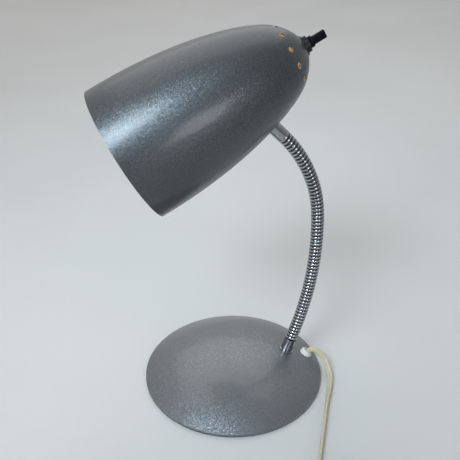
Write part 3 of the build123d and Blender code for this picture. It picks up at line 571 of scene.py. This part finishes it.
def rounded_ring(centre, half_width, half_height, steps, squareness):
    """Points of an upright rounded rectangle about a centre."""
    ring = []
    for step in range(steps):
        angle = 2 * pi * step / steps
        x = half_width * copysign(abs(cos(angle)) ** squareness, cos(angle))
        z = half_height * copysign(abs(sin(angle)) ** squareness, sin(angle))
        ring.append(centre + across * x + upwards * z)
    return ring


plug_points = []
for distance, half_width, half_height in plug_stations():
    centre = plug_place + plug_heading * distance
    plug_points += rounded_ring(centre, half_width, half_height, plug_steps, plug_squareness)
plug_rings = len(plug_points) // plug_steps
plug_faces = ring_faces(plug_rings, plug_steps, outwards=False)
plug_faces.append(tuple(range(plug_steps)))
plug_faces.append(tuple(reversed(range((plug_rings - 1) * plug_steps, plug_rings * plug_steps))))
plug = new_object("plug_shell", mesh_from("plug_shell", plug_points, plug_faces))
plug.data.materials.append(cream_vinyl)
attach(plug, "base")
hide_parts("plug_body")

# Neck line, as in the solids: two arcs from the foot to the shade
foot_lean = asin(foot_y / dome_radius)
middle_lean = foot_lean - lower_arc_turn
entry_radius = mouth_radius * sqrt(1 - (neck_entry / ellipse_length) ** 2)
entry_slope = atan((mouth_radius / ellipse_length) ** 2 * neck_entry / entry_radius)
head_lean = -(shade_tilt + entry_slope)
flex_length = lower_arc_length + upper_arc_length
section_length = flex_length / neck_sections
turn_pitch = flex_length / turn_count


def lean_direction(lean):
    """Direction that leans back from upright by an angle."""
    return Vector((0, sin(lean), cos(lean)))


def arc_point(start, lean, turn, length, distance):
    """Point and lean at a distance along an arc of the neck."""
    radius = length / turn
    end_lean = lean + distance / radius
    step = Vector((0, radius * (cos(lean) - cos(end_lean)), radius * (sin(end_lean) - sin(lean))))
    return start + step, end_lean


foot_place = Vector((0, foot_y, dome_top - dome_radius + sqrt(dome_radius**2 - foot_y**2)))
flex_start = foot_place + lean_direction(foot_lean) * foot_ferrule_length
flex_middle = arc_point(flex_start, foot_lean, -lower_arc_turn, lower_arc_length, lower_arc_length)[0]


def neck_point(distance):
    """Point and direction of the neck at a distance along its flexible length."""
    if distance <= lower_arc_length:
        place, lean = arc_point(flex_start, foot_lean, -lower_arc_turn, lower_arc_length, distance)
    else:
        past = distance - lower_arc_length
        place, lean = arc_point(flex_middle, middle_lean, head_lean - middle_lean, upper_arc_length, past)
    return place, lean_direction(lean)


def turn_share(distance, angle):
    """Where a point of the wound neck lies across its turn: -1 at the lower groove, 1 at the upper one."""
    return 2 * ((distance / turn_pitch - angle / (2 * pi)) % 1.0) - 1


def roundness(share):
    """How far a round turn falls away: 0 at its crown, nearly 1 in the groove."""
    return 1 - sqrt(1 - turn_fullness * share**2)


def turn_radius(distance, angle):
    """Radius of the wound neck: rounded turns that climb round it."""
    return neck_radius - turn_depth * roundness(turn_share(distance, angle))


def turn_grime_and_shade(distance, angle):
    """How dark a point of the wound neck is painted: most in the groove, with grime and painted shade, and
    on the lower side of the turn, with painted shade.
    """
    return roundness(max(turn_share(distance, angle) - lower_shade_shift, -1.0))


def mark_grime_and_shade(mesh, depths):
    """Keep each point's grime and painted shade with the mesh, with the bore and the wires counted as
    dark: painted shade inside the bore.
    """
    grime_and_shade = mesh.attributes.new("grime_and_shade", "FLOAT", "POINT")
    grime_and_shade.data.foreach_set("value", depths + [1.0] * (len(mesh.vertices) - len(depths)))


def neck_ring(distance, radius_at, around):
    """Points round the neck at a distance along it."""
    place, heading = neck_point(distance)
    side = heading.cross(across)
    angles = [2 * pi * step / around for step in range(around)]
    return [place + (across * cos(angle) + side * sin(angle)) * radius_at(angle) for angle in angles]


def neck_piece(name, start, end):
    """A length of the wound tube with its bore, and the pair of wires inside it."""
    around = 48
    rings_per_turn = 12
    rings = round((end - start) / turn_pitch * rings_per_turn) + 1
    outer = [start + (end - start) * ring / (rings - 1) for ring in range(rings)]
    bore_rings = 9
    bore = [start + (end - start) * ring / (bore_rings - 1) for ring in range(bore_rings)]
    points = []
    for distance in outer:
        points += neck_ring(distance, lambda angle: turn_radius(distance, angle), around)
    for distance in reversed(bore):
        points += neck_ring(distance, lambda angle: neck_bore_radius, around)
    shell = rings + bore_rings
    faces = ring_faces(shell, around)
    last = (shell - 1) * around
    faces += closing_faces(last, around)
    wire_start = len(points)
    wire_around = 16
    for distance in bore:
        points += neck_ring(distance, lambda angle: lead_radius, wire_around)
    wire_faces = ring_faces(bore_rings, wire_around, wire_start)
    wire_faces.append(tuple(wire_start + step for step in reversed(range(wire_around))))
    wire_end = wire_start + (bore_rings - 1) * wire_around
    wire_faces.append(tuple(wire_end + step for step in range(wire_around)))
    piece = new_object(name, mesh_from(name, points, faces + wire_faces))
    angles = [2 * pi * step / around for step in range(around)]
    # painted shade and grime on each point of the turns, darkest in the grooves and below the turns
    mark_grime_and_shade(piece.data, [turn_grime_and_shade(distance, angle) for distance in outer for angle in angles])
    piece.data.materials.append(neck_chrome)
    piece.data.materials.append(wire_vinyl)
    for polygon in piece.data.polygons[len(faces):]:
        polygon.material_index = 1
    return piece


first_half = neck_piece("neck_turns_0", 0, section_length / 2)
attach(first_half, "base")
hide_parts("neck_section_1", "neck_lead_1")
for number in range(1, neck_sections):
    start = (number - 0.5) * section_length
    end = (number + 0.5) * section_length
    length = neck_piece(f"neck_turns_{number}", start, end)
    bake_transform(length)
    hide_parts(f"neck_section_{number + 1}", f"neck_lead_{number + 1}")
last_half = neck_piece(f"neck_turns_{neck_sections}", flex_length - section_length / 2, flex_length)
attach(last_half, "head")
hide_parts(f"neck_section_{neck_sections}", f"neck_lead_{neck_sections}")

# Shade's frame: the middle of its mouth, and the directions along it and towards the neck
entry_place = neck_point(flex_length)[0] + lean_direction(head_lean) * head_ferrule_length
head_up = Vector((0, cos(shade_tilt), sin(shade_tilt)))
head_side = Vector((0, sin(shade_tilt), -cos(shade_tilt)))
mouth_place = entry_place - head_up * neck_entry - head_side * entry_radius

# Wires inside the lamp: through the neck's nipples, round the notch in the weight
# and along the lamp holder
wire_width = 0.0030
wire_thickness = 0.0015
wire_resolution = 10
nipple_overlap = 0.0012  # of the wires inside the nipples' ends
foot_nipple_end = 0.0055  # below the dome
head_nipple_end = 0.0058  # inside the shade
nipple_pass = 0.0045
wire_height = 0.0038
notch_side = 0.0122
notch_bend = 0.00915
notch_end = foot_y - 0.0142
nut_pass = foot_y + 0.009
holder_route = [(0.0198, 0.110), (0.0183, 0.121), (0.0182, 0.130), (0.0095, 0.130)]  # side and height
foot_up = lean_direction(foot_lean)
head_inwards = lean_direction(head_lean)


def drop_to(place, heading, height):
    """Where a line back along a heading comes down to a height."""
    return place - heading * (place.z - height) / heading.z


foot_wire_end = foot_place - foot_up * foot_nipple_end
base_wire_points = [
    bushing_place,
    drop_to(bushing_place, bushing_heading, wire_height),
    Vector((notch_bend, nut_pass, wire_height)),
    Vector((notch_side, (foot_y + notch_end) / 2, wire_height)),
    Vector((notch_bend, notch_end, wire_height)),
    Vector((0, notch_end, wire_height)),
    drop_to(foot_wire_end, foot_up, wire_height),
    foot_wire_end + foot_up * nipple_overlap,
]
head_wire_points = [
    entry_place + head_inwards * (head_nipple_end - nipple_overlap),
    entry_place + head_inwards * (head_nipple_end + nipple_pass),
]
head_wire_points += [mouth_place + head_side * side + head_up * height for side, height in holder_route]
base_wire_keys = [(0.0, (0, 0, 1)), (0.040, (0, 0, 1)), (0.050, (1, 0, 0.2)), (0.060, (1, 0, 0))]
head_wire_keys = [(0.0, (1, 0, 0)), (0.1, (1, 0, 0))]


def wire_piece(name, route, keys, body, node):
    """A pair of insulated wires along a route."""
    line = smooth_line(name + "_line", route, wire_resolution)
    piece = twin_cord(name, line, wire_width, wire_thickness, keys)
    piece.data.materials.append(wire_vinyl)
    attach(piece, body)
    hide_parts(node)


wire_piece("head_wires", head_wire_points, head_wire_keys, "head", "head_lead")
wire_piece("base_wires", base_wire_points, base_wire_keys, "base", "base_lead")

# Finishes of the solids that show as they are
finishes = {
    base_paint_lightened: ["base_dome"],
    chrome: ["foot_collar", "foot_ferrule", "head_ferrule"],
    bare_steel: [
        "base_plate",
        "foot_nut",
        "foot_lock_washer",
        "head_nut",
        "head_lock_washer",
        "plate_screws",
        "holder_screws",
        "weight_bolt",
        "weight_boss",
    ],
    cast_iron: ["base_weight"],
    black_plastic: ["switch_knob", "switch_rotor"],
    white_ceramic: ["switch_housing", "lamp_holder"],
    dark_metal: ["switch_ring_nut", "switch_washer", "switch_bushing"],
    plain_brass: ["holder_shell", "holder_contact", "switch_leaf", "plug_blades", "bulb_tip"],
    white_plastic: ["cord_bushing"],
    dark_felt: ["base_felt"],
    bulb_light: ["bulb_glass"],
    rolled_aluminium: ["bulb_cap"],
}
for finish, names in finishes.items():
    for name in names:
        nodes[name].data.materials.clear()
        nodes[name].data.materials.append(finish)

# Shade: silver-grey outside and a pale enamel inside
shade = nodes["shade"]
shade.data.materials.clear()
shade.data.materials.append(shade_paint_darkened)
shade.data.materials.append(pale_enamel)
for polygon in shade.data.polygons:
    offset = polygon.center - mouth_place
    outwards = offset - head_up * offset.dot(head_up)
    if polygon.normal.dot(outwards) < 0:
        polygon.material_index = 1

# Floor
floor_size = 6.0
floor_roughness = 0.8
floor_material, floor_nodes, floor_links, floor_shader = new_material("pale_floor")
floor_noise = object_noise(floor_nodes, floor_links, 3.0)
floor_stops = [(0.3, (0.58, 0.58, 0.57)), (0.7, (0.62, 0.62, 0.61))]
floor_links.new(
    colour_ramp(floor_nodes, floor_links, floor_noise.outputs["Fac"], floor_stops),
    floor_shader.inputs["Base Color"],
)
floor_shader.inputs["Roughness"].default_value = floor_roughness
half = floor_size / 2
floor_corners = [(-half, -half, 0), (half, -half, 0), (half, half, 0), (-half, half, 0)]
floor = new_object("floor", mesh_from("floor", floor_corners, [(0, 1, 2, 3)], smooth=False))
floor.data.materials.append(floor_material)


def area_light(name, place, target, size, power, colour, spread=pi):
    """A square soft light that looks at a target."""
    data = bpy.data.lights.new(name, "AREA")
    data.size = size
    data.energy = power
    data.color = colour
    data.spread = spread
    light = bpy.data.objects.new(name, data)
    scene.collection.objects.link(light)
    light.location = place
    light.rotation_mode = "QUATERNION"
    light.rotation_quaternion = (Vector(target) - Vector(place)).to_track_quat("-Z", "Y")


# Soft lights: a cool one in front whose beam a grid narrows, one over the floor behind, and a window
area_light(
    "key_light",
    place=(0.86, -0.91, 1.27),
    target=(-0.08, -0.12, 0.20),
    size=0.8,
    power=2.2,
    colour=(0.74, 0.89, 1.0),
    spread=radians(44),
)
area_light(
    "back_light",
    place=(-1.3, 0.10, 1.70),
    target=(-0.6, 0.0, 0.0),
    size=2.4,
    power=16,
    colour=(1.0, 0.99, 0.97),
)
area_light(
    "window_light",
    place=(1.45, 0.25, 0.52),
    target=(0, 0, 0.20),
    size=0.5,
    power=3.8,
    colour=(0.90, 0.96, 1.0),
)

# World: a pale wall behind the lamp and a dimmer room in front of it
wall_stops = [
    (0.0, (0.37, 0.37, 0.37)),
    (0.35, (0.34, 0.34, 0.34)),
    (0.60, (0.25, 0.26, 0.27)),
    (1.0, (0.12, 0.12, 0.13)),
]
world_strength = 1.45
world = bpy.data.worlds.new("world")
scene.world = world
world.use_nodes = True
world_nodes = world.node_tree.nodes
world_links = world.node_tree.links
direction = world_nodes.new("ShaderNodeTexCoord")
direction_parts = world_nodes.new("ShaderNodeSeparateXYZ")
world_links.new(direction.outputs["Generated"], direction_parts.inputs["Vector"])
frontwards = world_nodes.new("ShaderNodeMapRange")
frontwards.inputs["From Min"].default_value = -1
world_links.new(direction_parts.outputs["X"], frontwards.inputs["Value"])
world_links.new(
    colour_ramp(world_nodes, world_links, frontwards.outputs["Result"], wall_stops),
    world_nodes["Background"].inputs["Color"],
)
world_nodes["Background"].inputs["Strength"].default_value = world_strength
